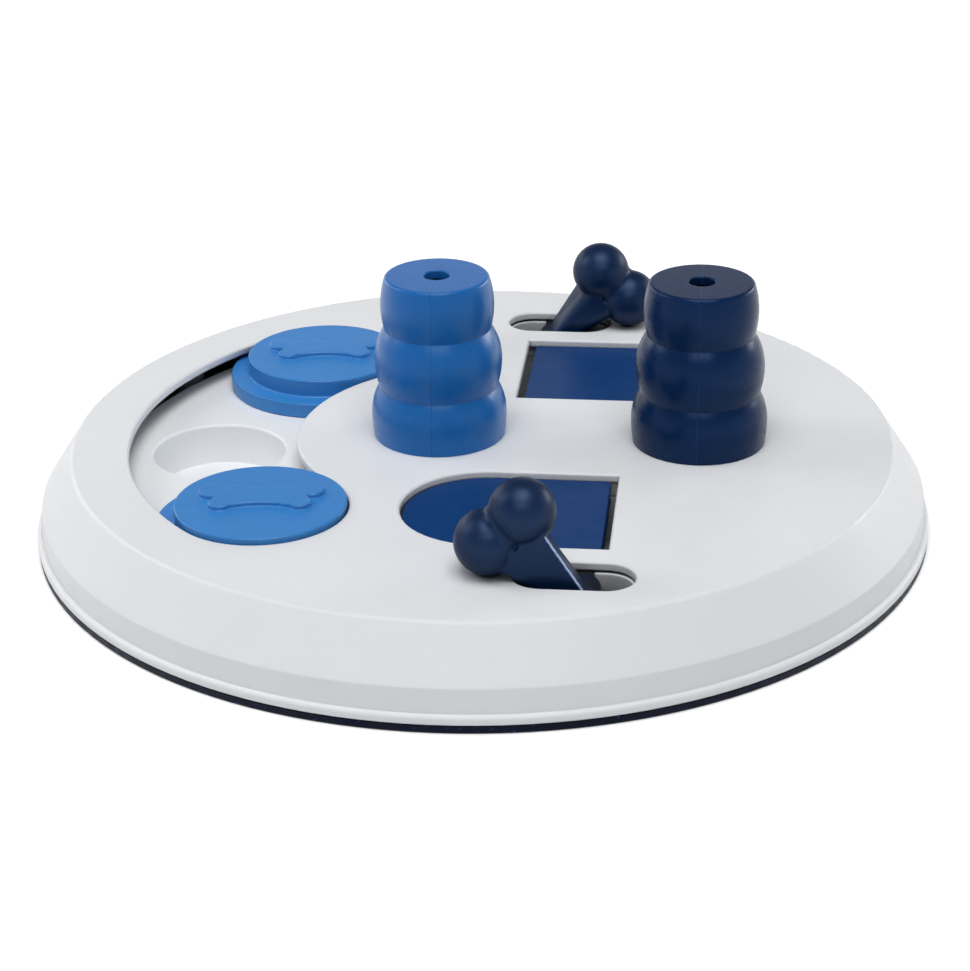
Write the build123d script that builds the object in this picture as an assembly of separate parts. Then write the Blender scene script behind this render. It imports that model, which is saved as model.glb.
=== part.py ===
"""Round puzzle feeder for dogs: a hollow two-part board with sliding lids, lift-off hats and lever-worked flaps.

Treats lie in hollows of the board. Two round lids slide along a curved channel over three cups, two hollow
hats stand over two dishes, and two flaps close two deep wells. Each flap sits on an axle under the deck, and a
bone-shaped lever on the same axle swings it open.

Frame: millimetres, +Z up, origin at the middle of the board on the surface that it stands on. The channel's
middle lies on -X. The flap and lever units are copies of each other, half a turn apart about one point.
"""

from build123d import *
import os
from math import cos, radians, sin, sqrt

# ---------------------------------------------------------------- board
bead_radius = 113.5  # outside of the shell's foot bead, half the object's width
ring_inset = 0.1  # the anti-slip ring stands in from the bead by this
ring_height = 2.3
ring_width = 10.5
ring_edge_break = 0.4

bead_height = 2.1
bead_projection = 1.2  # from the band to the bead's outside
bead_round = 0.9

band_height = 6.0  # the nearly upright band above the bead
band_taper = 0.35
skirt_run = 8.2  # radius lost over the sloping skirt
deck_top = 22.9
shell_wall = 2.0
shoulder_round = 1.3
deck_edge_break = 0.4  # chamfer on the rims of the openings in the deck

plate_lift = 2.6  # underside of the base plate above the ground
plate_thickness = 1.6
rim_gap = 0.3  # between the base tray and the shell around it
tray_lip_height = 4.0
tray_lip_thickness = 1.6

# ---------------------------------------------------------------- sliding lids and their channel
channel_margin = 14.25  # deck between the channel and the shoulder
channel_half_width = 21.2
cup_pitch = 45.0  # degrees from cup to cup

lid_radius = 20.8
lid_height = 4.7  # disc above its flange
lid_edge_break = 0.4
flange_radius = 25.6
flange_thickness = 4.0
flange_headroom = 1.4  # between the flange and the deck above it
slide_gap = 0.05  # between the flange and the floor that it slides on
lid_wall = 2.2

relief_height = 1.2  # the bone on each lid
relief_break = 0.35
relief_notch_round = 0.5
relief_turn = 6.3  # degrees, the bone's long axis from +X
relief_far_knob = 3.6  # knob radii, the far pair and the near pair
relief_near_knob = 2.9
relief_far_x = 12.0  # knob centres from the lid's middle
relief_far_y = 4.5
relief_near_x = 9.6
relief_near_y = -2.4
relief_waist_far = 5.8  # the two long sides at the waist
relief_waist_near = -2.7
relief_notch_x = 11.5  # the notch between two knobs
relief_notch_y = 0.6

track_margin = 0.9  # the track's floor runs this far past the flange
track_floor = 2.0
track_skirt = 1.6
cup_radius = 17.0
cup_draft = 1.2  # radius lost from mouth to floor
cup_wall = 1.5
cup_bottom = 1.0
cup_mouth_round = 0.8

# ---------------------------------------------------------------- hats and their dishes
hat_light_lead = 32.2  # from the point that the flap units turn about to each hat
hat_dark_lead = 33.6
hat_foot_radius = 16.6
hat_tiers = [  # (widest radius, radius at the tier's top, height) from the foot up
    (17.1, 15.4, 13.3),
    (16.1, 13.9, 15.4),
    (14.25, 13.0, 13.5),
]
hat_belly_share = 0.45  # height of a tier's widest point within the tier
hat_top_round = 0.8
hat_hole_radius = 3.3
hat_top_wall = 2.0
hat_side_wall = 2.2
hat_foot_thickness = 1.8
spigot_depth = 1.6
spigot_gap = 0.35
spigot_wall = 1.5
dish_radius = 13.0
dish_depth = 9.0
dish_edge_break = 1.5

# ---------------------------------------------------------------- flaps, axles and levers
flap_open_width = 41.4
flap_open_length = 51.4
flap_open_end = 14.95  # the opening's square end from the point that the two units turn about
flap_channel_bridge = 12.05  # deck between a flap's round end and the channel
flap_slot_bridge = 7.1  # deck between a flap's opening and its lever slot
flap_gap = 0.6  # around the flap in its opening
flap_hinge_gap = 1.9  # at the square end, where the flap's edge swings down
flap_sink = 1.5  # flap top below the deck
flap_thickness = 2.0
flap_corner_round = 1.3
flap_edge_break = 0.35

well_inset = 2.6  # the well's inside stands in from the flap's edge by this
well_wall = 1.6
well_seat_gap = 0.1  # between the well's rim and the flap that rests on it
well_hinge_end = 6.0  # from the axle to the well's square end

axle_from_end = 5.1  # axle line in from the opening's square end
axle_below_deck = 6.2
axle_radius = 2.0
axle_flat = 1.5  # the keyed stretches are cut flat this far from the axis
axle_overhang = 0.8  # past the outer faces of the end bearings
running_gap = 0.05
barrel_wall = 1.15
hub_wall = 1.75

bearing_thickness = 2.4
bearing_half_width = 10.0
bearing_split = 0.1  # each half stops this far from the axle line
bearing_clear = 2.2  # from the flap's opening to the centre of the bearing beside it

slot_margin = 24.55  # from the lever slot's centre line to the shoulder
slot_lead = 2.15  # from the axle to the slot's middle, towards the flap
slot_length = 28.5
slot_width = 14.0

pocket_inset = 0.5  # the pocket under the slot stands in from the slot's edge
pocket_wall = 1.5
pocket_below_deck = 2.7
pocket_notch_gap = 0.3  # around the axle, which passes through the pocket's walls
pocket_bearing_gap = 0.6  # between the pocket and the bearing outside it

lever_lean = 44.5  # degrees from upright at rest
hub_side_gap = 1.0  # between the hub and the slot's long sides
post_thickness = 3.2  # in the swing plane
post_width = 5.0  # across it
post_length = 13.0
post_gap = 0.1
saddle_gap = 0.1  # between the shank's hollowed foot and the hub
shank_start = 2.4  # from the axle line to the shank's foot
shank_foot = (7.2, 4.6, 8.7)  # in the swing plane on the outer side and on the inner side, across it
shank_neck = (15.6, 9.9, 11.0)
shank_foot_round = 1.6  # corners of the inner side
shank_neck_round = 3.0
shank_edge_round = 1.4  # both corners of the outer side, which pass the slot's ends
shank_length = 18.2
knob_radius = 7.8
knob_spread = 5.55  # each knob's centre to the side of the shank
knob_height = 25.1  # knob centres from the axle line
knob_blend = 2.2

# ---------------------------------------------------------------- screws
screw_count = 6
screw_turn = 30.0  # degrees, the first screw from +X
screw_radius = 1.5
screw_length = 11.0
screw_head_radius = 2.8
screw_head_height = 1.8
screw_head_break = 0.7
screw_gap = 0.05
head_recess = 0.5  # screw head below the base plate's underside
post_radius = 3.6  # shell posts that take the screws
post_clear = 0.4
boss_wall = 1.6
boss_height = 3.2  # above the base plate

# ---------------------------------------------------------------- derived sizes
ring_radius = bead_radius - ring_inset
band_radius = bead_radius - bead_projection
band_top = ring_height + bead_height + band_height
shoulder_radius = band_radius - band_taper - skirt_run
deck_under = deck_top - shell_wall
plate_top = plate_lift + plate_thickness
tray_radius = band_radius - band_taper - shell_wall - rim_gap

channel_radius = shoulder_radius - channel_margin - channel_half_width  # the channel's centre line
channel_span = 2 * cup_pitch
channel_end_x = -channel_radius * cos(radians(cup_pitch))
flange_top = deck_under - flange_headroom
track_top = flange_top - flange_thickness - slide_gap
track_half_width = flange_radius + track_margin
track_outer_radius = channel_radius + track_half_width
cup_floor = plate_top + cup_bottom

slot_row = shoulder_radius - slot_margin
flap_row = slot_row - slot_width / 2 - flap_slot_bridge - flap_open_width / 2
pair_x = channel_end_x + channel_half_width + flap_channel_bridge + flap_open_length - flap_open_end
hat_light_x = pair_x - hat_light_lead
hat_dark_x = pair_x + hat_dark_lead

flap_top = deck_top - flap_sink
flap_under = flap_top - flap_thickness
flap_width = flap_open_width - 2 * flap_gap
axle_x = pair_x + flap_open_end - axle_from_end
axle_z = deck_top - axle_below_deck
barrel_radius = axle_radius + running_gap + barrel_wall
hub_radius = axle_radius + running_gap + hub_wall

pocket_half_width = slot_width / 2 - pocket_inset + pocket_wall
inner_bearing_y = flap_row - flap_open_width / 2 - bearing_clear
middle_bearing_y = slot_row - pocket_half_width - pocket_bearing_gap - bearing_thickness / 2
outer_bearing_y = slot_row + pocket_half_width + pocket_bearing_gap + bearing_thickness / 2
hub_width = slot_width - 2 * hub_side_gap

boss_radius = screw_head_radius + screw_gap + boss_wall
screw_circle = track_outer_radius + post_clear + max(post_radius, boss_radius)
screw_seat = plate_lift + head_recess + screw_head_height

FRONT = Pos(0, 0, 0)
REAR = Pos(2 * pair_x, 0, 0) * Rot(0, 0, 180)
MORE = 1.0  # how far a cutting tool runs past the faces that it opens


# ---------------------------------------------------------------- helpers
def rod(radius, low, high, x=0.0, y=0.0):
    """An upright cylinder between two heights."""
    return Pos(x, y, low) * Cylinder(radius, high - low, align=(Align.CENTER, Align.CENTER, Align.MIN))


def prism(sketch, low, high):
    """A flat outline pulled up between two heights."""
    return extrude(Pos(0, 0, low) * sketch, high - low)


def turned(points):
    """A solid of revolution about Z from (radius, height) corners."""
    return revolve(make_face(Polyline([(r, 0, z) for r, z in points], close=True)), Axis.Z)


def arc_slot(half_width):
    """The channel's curved outline at a given half width."""
    start = 180 - channel_span / 2
    return SlotArc(CenterArc((0, 0), channel_radius, start, channel_span), 2 * half_width)


def tongue(width, tip_x, end_x, row):
    """A flap-shaped outline: square end at end_x, half round towards tip_x."""
    nose = width / 2
    far_side = (tip_x + nose, nose - row)
    near_side = (tip_x + nose, -nose - row)
    round_end = ThreePointArc(far_side, (tip_x, -row), near_side)
    square_end = Polyline(near_side, (end_x, -nose - row), (end_x, nose - row), far_side)
    return Sketch() + make_face([round_end, square_end])


def opening_outline(inset=0.0, hinge_inset=0.0):
    """The flap's opening in the deck, or the same outline further in."""
    end = pair_x + flap_open_end
    return tongue(
        flap_open_width - 2 * inset, end - flap_open_length + inset, end - hinge_inset, flap_row
    )


def lever_slot(inset=0.0):
    """The lever's slot in the deck, or the same outline further in."""
    return Pos(axle_x - slot_lead, -slot_row) * SlotOverall(slot_length - 2 * inset, slot_width - 2 * inset)


def along_y(radius, near, far):
    """A cylinder on the axle line, from y = -near to y = -far."""
    turn = Pos(axle_x, -near, axle_z) * Rot(90, 0, 0)
    return turn * Cylinder(radius, far - near, align=(Align.CENTER, Align.CENTER, Align.MIN))


def keyed(radius, flat, near, far):
    """The same with a flat cut along its underside."""
    body = along_y(radius, near, far)
    cut = Pos(axle_x, -(near + far) / 2, axle_z - flat) * Box(
        4 * radius, far - near + 2 * MORE, 4 * radius, align=(Align.CENTER, Align.CENTER, Align.MAX)
    )
    return body - cut


def cup_centres():
    """The three cups along the channel."""
    steps = (-1, 0, 1)
    return [
        (channel_radius * cos(radians(180 + s * cup_pitch)), channel_radius * sin(radians(180 + s * cup_pitch)))
        for s in steps
    ]


def screw_places():
    """Where the screws stand, evenly round the board."""
    turns = [screw_turn + 360 * k / screw_count for k in range(screw_count)]
    return [Rot(0, 0, turn) * Pos(screw_circle, 0, 0) for turn in turns]


# ---------------------------------------------------------------- casing
def offset_inwards(points, wall):
    """The corners of a (radius, height) outline, moved inwards by one wall."""
    lines = []
    for (r0, z0), (r1, z1) in zip(points, points[1:]):
        run = sqrt((r1 - r0) ** 2 + (z1 - z0) ** 2)
        nr, nz = -(z1 - z0) / run, (r1 - r0) / run
        lines.append((nr, nz, nr * r0 + nz * z0 + wall))
    corners = []
    for (a, b, c), (d, e, f) in zip(lines, lines[1:]):
        det = a * e - b * d
        corners.append(((c * e - b * f) / det, (a * f - c * d) / det))
    return corners


def bearing_plate(y, low, high):
    """An upright rib across the axle."""
    return Pos(axle_x, -y, (low + high) / 2) * Box(2 * bearing_half_width, bearing_thickness, high - low)


def bearings(low, high):
    """Three half bearings of one flap unit, as ribs with a round seat for the axle."""
    ribs = [bearing_plate(y, low, high) for y in (inner_bearing_y, middle_bearing_y, outer_bearing_y)]
    seat = along_y(axle_radius + running_gap, 0, outer_bearing_y + 2 * bearing_thickness)
    return [rib - seat for rib in ribs]


def make_top_shell():
    """Deck, skirt and foot bead, with the openings, the dishes, the screw posts and the upper half bearings."""
    outside = [
        (band_radius, ring_height),
        (band_radius - band_taper, band_top),
        (shoulder_radius, deck_top),
        (0, deck_top),
    ]
    shoulder, corner = offset_inwards(outside, shell_wall)
    inside = [
        (band_radius - shell_wall, ring_height - MORE),
        shoulder,
        corner,
        (0, deck_under),
    ]
    body = turned(outside + [(0, ring_height)])
    body = fillet(body.edges().filter_by(GeomType.CIRCLE).sort_by(Axis.Z)[-1], shoulder_round)
    bead = rod(bead_radius, ring_height, ring_height + bead_height)
    bead = fillet(bead.edges().filter_by(GeomType.CIRCLE).sort_by(Axis.Z)[-1], bead_round)
    body = body + bead - turned(inside + [(0, ring_height - MORE)])

    holes = arc_slot(channel_half_width)
    for place in (FRONT, REAR):
        holes = holes + place * opening_outline() + place * lever_slot()
    body -= prism(holes, deck_under - MORE, deck_top + MORE)
    rims = [
        e
        for e in body.edges().filter_by_position(Axis.Z, deck_top - 0.01, deck_top + 0.01)
        if max(v.X**2 + v.Y**2 for v in e.vertices()) < (shoulder_radius - shoulder_round) ** 2
    ]
    body = chamfer(rims, deck_edge_break)

    for x in (hat_light_x, hat_dark_x):
        dish_floor = deck_top - dish_depth
        bowl = rod(dish_radius + shell_wall, dish_floor - shell_wall, deck_under + 0.5 * shell_wall, x)
        hollow = rod(dish_radius, dish_floor, deck_top + MORE, x)
        hollow = chamfer(hollow.edges().sort_by(Axis.Z)[0], dish_edge_break)
        body = body + bowl - hollow

    posts = [
        place * (rod(post_radius, plate_top + boss_height, deck_under + 0.5 * shell_wall)
                 - rod(screw_radius + screw_gap, plate_top + boss_height - MORE, screw_seat + screw_length + MORE))
        for place in screw_places()
    ]
    halves = [place * rib for place in (FRONT, REAR) for rib in bearings(axle_z + bearing_split, deck_under)]
    return body + posts + halves


def make_base_tray():
    """The flat base, with the wells under the flaps, the pockets under the lever slots, the lower half bearings
    and the screw bosses."""
    plate = rod(tray_radius, plate_lift, plate_top)
    rim = rod(tray_radius, ring_height, plate_top + tray_lip_height)
    rim -= rod(tray_radius - tray_lip_thickness, plate_top - MORE, plate_top + tray_lip_height + MORE)
    rim -= rod(ring_radius - ring_width, ring_height - MORE, plate_lift + MORE)
    body = plate + rim

    well_top = flap_under - well_seat_gap
    end = axle_x - well_hinge_end
    inner_width = flap_width - 2 * well_inset
    tip = pair_x + flap_open_end - flap_open_length + flap_gap + well_inset
    inside = tongue(inner_width, tip, end, flap_row)
    outside = tongue(inner_width + 2 * well_wall, tip - well_wall, end + well_wall, flap_row)
    well = prism(outside, plate_top, well_top) - prism(inside, plate_top, well_top)
    pocket_top = deck_top - pocket_below_deck
    pocket = prism(lever_slot(pocket_inset - pocket_wall), plate_top, pocket_top)
    pocket -= prism(lever_slot(pocket_inset), plate_top, pocket_top)
    notch = axle_radius + pocket_notch_gap
    near = slot_row - slot_width
    far = slot_row + slot_width
    pocket -= along_y(notch, near, far)
    pocket -= Pos(axle_x, -slot_row, axle_z) * Box(
        2 * notch, far - near, deck_top - axle_z, align=(Align.CENTER, Align.CENTER, Align.MIN)
    )
    ribs = bearings(plate_top, axle_z - bearing_split)
    for place in (FRONT, REAR):
        body += [place * well, place * pocket] + [place * rib for rib in ribs]

    boss = rod(boss_radius, plate_lift, plate_top + boss_height)
    head = rod(screw_head_radius + 4 * screw_gap, plate_lift - MORE, screw_seat)
    shank = rod(screw_radius + 2 * screw_gap, plate_lift, plate_top + boss_height + MORE)
    for place in screw_places():
        body = body + place * boss - place * (head + shank)
    return body


def make_anti_slip_ring():
    """The rubber ring under the rim, which stands a little proud of the shell all round."""
    ring = rod(ring_radius, 0, ring_height) - rod(ring_radius - ring_width, -MORE, ring_height + MORE)
    outer = [e for e in ring.edges().filter_by(GeomType.CIRCLE) if e.radius > ring_radius - 0.5 * ring_width]
    return chamfer(outer, ring_edge_break)


def make_slider_track():
    """The channel's floor with its three cups, and the skirt that stands on the base."""
    floor = prism(arc_slot(track_half_width), plate_top, track_top)
    floor -= prism(arc_slot(track_half_width - track_skirt), plate_top - MORE, track_top - track_floor)
    for x, y in cup_centres():
        slope = cup_draft / (track_top - cup_floor)
        low_outside = cup_radius + cup_wall - slope * (track_top - plate_top)
        cup = turned([
            (0, plate_top),
            (low_outside, plate_top),
            (cup_radius + cup_wall - slope * track_floor, track_top - track_floor),
            (0, track_top - track_floor),
        ])
        hollow = turned([(0, cup_floor), (cup_radius - cup_draft, cup_floor), (cup_radius, track_top), (0, track_top)])
        floor = floor + Pos(x, y) * cup - Pos(x, y) * hollow
        rings = floor.edges().filter_by(GeomType.CIRCLE).sort_by(Axis.Z)
        mouth = [e for e in rings if (e.arc_center - Vector(x, y, track_top)).length + abs(e.radius - cup_radius) < 0.1]
        floor = fillet(mouth, cup_mouth_round)
    return floor


def make_screws():
    """The tapping screws that hold the two halves, as plain shanks and domed heads."""
    head_foot = screw_seat - screw_head_height
    head = rod(screw_head_radius, head_foot, screw_seat)
    head = chamfer(head.edges().sort_by(Axis.Z)[0], screw_head_break)
    screw = head + rod(screw_radius, screw_seat, screw_seat + screw_length)
    return [place * screw for place in screw_places()]


# ---------------------------------------------------------------- sliding lids
def bone_outline():
    """A stubby bone whose far knobs spread wider than its near ones."""
    far_top = relief_far_y + relief_far_knob
    near_foot = relief_near_y - relief_near_knob
    far_right = (relief_far_x, far_top)
    far_left = (-relief_far_x, far_top)
    near_right = (relief_near_x, near_foot)
    near_left = (-relief_near_x, near_foot)
    shape = Sketch() + make_face([
        ThreePointArc(far_left, (0, relief_waist_far), far_right),
        ThreePointArc(far_right, (relief_notch_x, relief_notch_y), near_right),
        ThreePointArc(near_right, (0, relief_waist_near), near_left),
        ThreePointArc(near_left, (-relief_notch_x, relief_notch_y), far_left),
    ])
    for side in (-1, 1):
        shape += Pos(side * relief_far_x, relief_far_y) * Circle(relief_far_knob)
        shape += Pos(side * relief_near_x, relief_near_y) * Circle(relief_near_knob)
    return fillet(shape.vertices(), relief_notch_round)


def make_slider(angle):
    """One lid: a flange that runs under the deck, a disc that fills the channel, and a bone in relief."""
    flange_low = track_top + slide_gap
    disc_top = flange_top + lid_height
    flange = rod(flange_radius, flange_low, flange_top)
    flange = chamfer(flange.edges().filter_by(GeomType.CIRCLE), lid_edge_break)
    disc = rod(lid_radius, flange_low + MORE, disc_top)
    disc = chamfer(disc.edges().filter_by(GeomType.CIRCLE).sort_by(Axis.Z)[-1], lid_edge_break)
    core = rod(lid_radius - lid_wall, flange_low - MORE, disc_top - lid_wall)
    relief = prism(Rot(0, 0, relief_turn) * bone_outline(), disc_top - 0.2 * lid_wall, disc_top + relief_height)
    relief = chamfer(relief.faces().sort_by(Axis.Z)[-1].edges(), relief_break)
    x = channel_radius * cos(radians(angle))
    y = channel_radius * sin(radians(angle))
    return Pos(x, y) * (flange + disc - core + relief)


# ---------------------------------------------------------------- hats
def hat_profile():
    """The three swelling tiers, each two arcs that meet upright at its belly, from the foot to the top."""
    edges = []
    radius, height = hat_foot_radius, deck_top
    for widest, top_radius, rise in hat_tiers:
        belly = (widest, 0, height + hat_belly_share * rise)
        edges.append(TangentArc(belly, (radius, 0, height), tangent=(0, 0, -1)))
        edges.append(TangentArc(belly, (top_radius, 0, height + rise), tangent=(0, 0, 1)))
        radius, height = top_radius, height + rise
    return edges, height


def make_hat(x):
    """A hollow hat of three tiers with a scent hole, which drops into the dish by a short spigot."""
    edges, top = hat_profile()
    spigot = dish_radius - spigot_gap
    bore = spigot - spigot_wall
    ledge = deck_top + hat_foot_thickness
    foot_inside = hat_foot_radius - hat_side_wall
    top_inside = hat_tiers[-1][1] - hat_side_wall
    rim = hat_tiers[-1][1]
    corners = [
        (rim, top),
        (hat_hole_radius, top),
        (hat_hole_radius, top - hat_top_wall),
        (top_inside, top - hat_top_wall),
        (foot_inside, ledge),
        (bore, ledge),
        (bore, deck_top - spigot_depth),
        (spigot, deck_top - spigot_depth),
        (spigot, deck_top),
        (hat_foot_radius, deck_top),
    ]
    closing = Polyline([(r, 0, z) for r, z in corners])
    body = revolve(make_face(edges + [closing]), Axis.Z)
    crown = [e for e in body.edges().filter_by(GeomType.CIRCLE) if abs(e.arc_center.Z - top) < 0.01]
    body = fillet([e for e in crown if e.radius > hat_hole_radius + 1], hat_top_round)
    return Pos(x, 0) * body


# ---------------------------------------------------------------- flap units
def make_flap():
    """A flat tongue with a hinge barrel along its square end, keyed to the axle."""
    outline = opening_outline(flap_gap, flap_hinge_gap)
    plate = prism(outline, flap_under, flap_top)
    ends = plate.edges().filter_by(Axis.Z).sort_by(Axis.X)[-2:]
    plate = fillet(ends, flap_corner_round)
    plate = chamfer(plate.faces().sort_by(Axis.Z)[-1].edges(), flap_edge_break)
    near = flap_row - flap_width / 2 + flap_corner_round
    far = flap_row + flap_width / 2 - flap_corner_round
    barrel = along_y(barrel_radius, near, far)
    web = Pos(axle_x, -flap_row, axle_z) * Box(
        1.1 * barrel_radius, far - near, flap_under - axle_z, align=(Align.MAX, Align.CENTER, Align.MIN)
    )
    bore = keyed(axle_radius + running_gap, axle_flat + running_gap, near - MORE, far + MORE)
    return plate + (barrel + web - prism(outline, flap_under, deck_top)) - bore


def make_axle():
    """A round bar with flats where the flap and the lever's hub are keyed to it."""
    near = inner_bearing_y - bearing_thickness / 2 - axle_overhang
    far = outer_bearing_y + bearing_thickness / 2 + axle_overhang
    bar = along_y(axle_radius, near, far)
    keys = [
        (flap_row - flap_width / 2, flap_row + flap_width / 2),
        (slot_row - hub_width / 2, slot_row + hub_width / 2),
    ]
    for low, high in keys:
        bar -= along_y(axle_radius + MORE, low, high) - keyed(axle_radius + 2 * MORE, axle_flat, low - MORE, high + MORE)
    return bar


def lever_frame():
    """From the lever's own frame, shank along +Z, to its rest place on the axle."""
    return Pos(axle_x, -slot_row, axle_z) * Rot(0, -lever_lean, 0)


def lever_post(gap=0.0):
    """The flat post that carries the lever, in the lever's own frame, grown by a gap."""
    thickness = post_thickness + 2 * gap
    width = post_width + 2 * gap
    return Box(thickness, width, post_length + gap, align=(Align.CENTER, Align.CENTER, Align.MIN))


def make_lever_hub():
    """The hub keyed to the axle, with the post that carries the lever."""
    drum = along_y(hub_radius, slot_row - hub_width / 2, slot_row + hub_width / 2)
    post = lever_frame() * lever_post()
    bore = keyed(
        axle_radius + running_gap,
        axle_flat + running_gap,
        slot_row - hub_width / 2 - MORE,
        slot_row + hub_width / 2 + MORE,
    )
    return drum + post - bore


def knobs():
    """The bone's two round knobs with a soft valley between them, turned about the line through both."""
    reach = knob_radius + knob_blend
    blend_centre = sqrt(reach**2 - knob_spread**2)
    share = knob_radius / reach
    touch = (knob_spread * (1 - share), blend_centre * share)
    tip = knob_spread + knob_radius
    outline = [
        ThreePointArc((-tip, 0), (-knob_spread, knob_radius), (-touch[0], touch[1])),
        ThreePointArc((-touch[0], touch[1]), (0, blend_centre - knob_blend), touch),
        ThreePointArc(touch, (knob_spread, knob_radius), (tip, 0)),
        Line((tip, 0), (-tip, 0)),
    ]
    return Pos(0, 0, knob_height) * revolve(make_face(outline), Axis.X)


def shank_section(sizes, corner_round):
    """A section of the shank: flat outer side with narrow rounds, drafted flanks and a well rounded inner side."""
    outer, inner, depth = sizes
    corners = [(-outer / 2, -depth / 2), (outer / 2, -depth / 2), (inner / 2, depth / 2), (-inner / 2, depth / 2)]
    section = Sketch() + make_face(Polyline(corners, close=True))
    section = fillet(section.vertices().sort_by(Axis.Y)[-2:], corner_round)
    return fillet(section.vertices().sort_by(Axis.Y)[:2], shank_edge_round)


def make_lever():
    """The bone: a flaring shank with two round knobs side by side, pushed onto the hub's post."""
    foot = Pos(0, 0, shank_start) * shank_section(shank_foot, shank_foot_round)
    neck = Pos(0, 0, shank_start + shank_length) * shank_section(shank_neck, shank_neck_round)
    shank = loft([foot, neck])
    saddle = Rot(90, 0, 0) * Cylinder(hub_radius + saddle_gap, slot_width)
    return lever_frame() * (shank + knobs() - lever_post(post_gap) - saddle)


# ---------------------------------------------------------------- all pieces
def make_pieces():
    """Every node of the feeder by name."""
    pieces = {
        "top_shell": make_top_shell(),
        "base_tray": make_base_tray(),
        "anti_slip_ring": make_anti_slip_ring(),
        "slider_track": make_slider_track(),
        "shell_screws": Compound(children=make_screws()),
        "slider_front": make_slider(180 + channel_span / 2),
        "slider_rear": make_slider(180 - channel_span / 2),
        "hat_light": make_hat(hat_light_x),
        "hat_dark": make_hat(hat_dark_x),
    }
    unit = {
        "flap": make_flap(),
        "hinge_axle": make_axle(),
        "lever_hub": make_lever_hub(),
        "bone_lever": make_lever(),
    }
    for side, place in (("front", FRONT), ("rear", REAR)):
        for name, piece in unit.items():
            pieces[f"{name}_{side}"] = place * piece
    return pieces


os.makedirs("parts", exist_ok=True)
for node, piece in make_pieces().items():
    export_step(piece, f"parts/{node}.step")
    print(node, round(piece.volume, 1))
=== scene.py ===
"""Dresses the round dog puzzle feeder: its moulded finishes, and the pieces whose soft edges want a finer mesh.

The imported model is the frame. Pieces are modelled in metres at the place that the frame gives them, and each
rides on a body of the frame. The front flap unit is modelled and copied half a turn round for the rear one.
"""

import math

import bmesh
import bpy
from mathutils import Matrix, Vector


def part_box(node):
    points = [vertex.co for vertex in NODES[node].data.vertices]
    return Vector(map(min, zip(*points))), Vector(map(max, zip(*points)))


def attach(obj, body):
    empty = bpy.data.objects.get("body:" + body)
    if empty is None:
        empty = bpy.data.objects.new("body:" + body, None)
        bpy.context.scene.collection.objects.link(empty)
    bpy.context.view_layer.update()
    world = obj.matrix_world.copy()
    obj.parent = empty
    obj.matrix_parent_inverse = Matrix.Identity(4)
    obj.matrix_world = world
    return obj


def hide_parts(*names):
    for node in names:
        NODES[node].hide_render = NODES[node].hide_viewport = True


bl_info = {
    "name": "Puzzle feeder workbench",
    "version": (1, 0, 0),
    "blender": (4, 5, 0),
    "location": "3D View > Sidebar > Feeder",
    "description": "Models and dresses the pieces of a round dog puzzle feeder",
    "category": "Object",
}

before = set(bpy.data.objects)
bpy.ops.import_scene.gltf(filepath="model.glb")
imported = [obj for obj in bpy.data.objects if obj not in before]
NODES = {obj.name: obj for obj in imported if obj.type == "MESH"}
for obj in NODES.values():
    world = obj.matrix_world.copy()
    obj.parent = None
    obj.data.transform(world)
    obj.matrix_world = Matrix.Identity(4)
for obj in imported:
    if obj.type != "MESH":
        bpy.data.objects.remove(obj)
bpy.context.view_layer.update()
MM = 0.001


# ---------------------------------------------------------------- places that the frame gives
def middle(node):
    """The middle of a node's box."""
    low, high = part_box(node)
    return (low + high) / 2


def half_width(node):
    """Half of a node's extent along X, which is the radius of a round node."""
    low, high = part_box(node)
    return (high.x - low.x) / 2


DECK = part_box("top_shell")[1].z
PAIR = (middle("hinge_axle_front") + middle("hinge_axle_rear")) / 2
AXLE = middle("hinge_axle_front")
LEVER_ROW = middle("bone_lever_front").y


# ---------------------------------------------------------------- sizes and colours that a user would change
class LidSettings(bpy.types.PropertyGroup):
    """The sliding lids."""

    disc_radius: bpy.props.FloatProperty(
        name="Disc radius", description="The round top that fills the channel", default=20.8 * MM, unit="LENGTH"
    )
    flange_thickness: bpy.props.FloatProperty(
        name="Flange thickness", description="The flange that runs under the deck", default=4.0 * MM, unit="LENGTH"
    )
    wall: bpy.props.FloatProperty(
        name="Wall", description="Thickness of the disc's wall and top", default=2.2 * MM, unit="LENGTH"
    )
    edge_round: bpy.props.FloatProperty(
        name="Edge round", description="Radius of the outer edges", default=0.4 * MM, unit="LENGTH"
    )
    relief_height: bpy.props.FloatProperty(
        name="Relief height", description="The bone stands this far above the disc", default=1.2 * MM, unit="LENGTH"
    )
    relief_round: bpy.props.FloatProperty(
        name="Relief round", description="Radius of the bone's upper edge", default=0.5 * MM, unit="LENGTH"
    )
    relief_turn: bpy.props.FloatProperty(
        name="Relief turn", description="The bone's long axis from +X", default=math.radians(6.3), subtype="ANGLE"
    )


class HatSettings(bpy.types.PropertyGroup):
    """The stacked-tier hats."""

    crown_round: bpy.props.FloatProperty(
        name="Crown round", description="Radius of the top's outer edge", default=1.0 * MM, unit="LENGTH"
    )
    hole_radius: bpy.props.FloatProperty(
        name="Hole radius", description="The scent hole in the top", default=3.3 * MM, unit="LENGTH"
    )
    wall: bpy.props.FloatProperty(
        name="Wall", description="Thickness of the hat's top and sides", default=2.2 * MM, unit="LENGTH"
    )
    seam_width: bpy.props.FloatProperty(
        name="Seam width", description="Half width of the line left by the mould", default=0.12 * MM, unit="LENGTH"
    )


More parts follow.
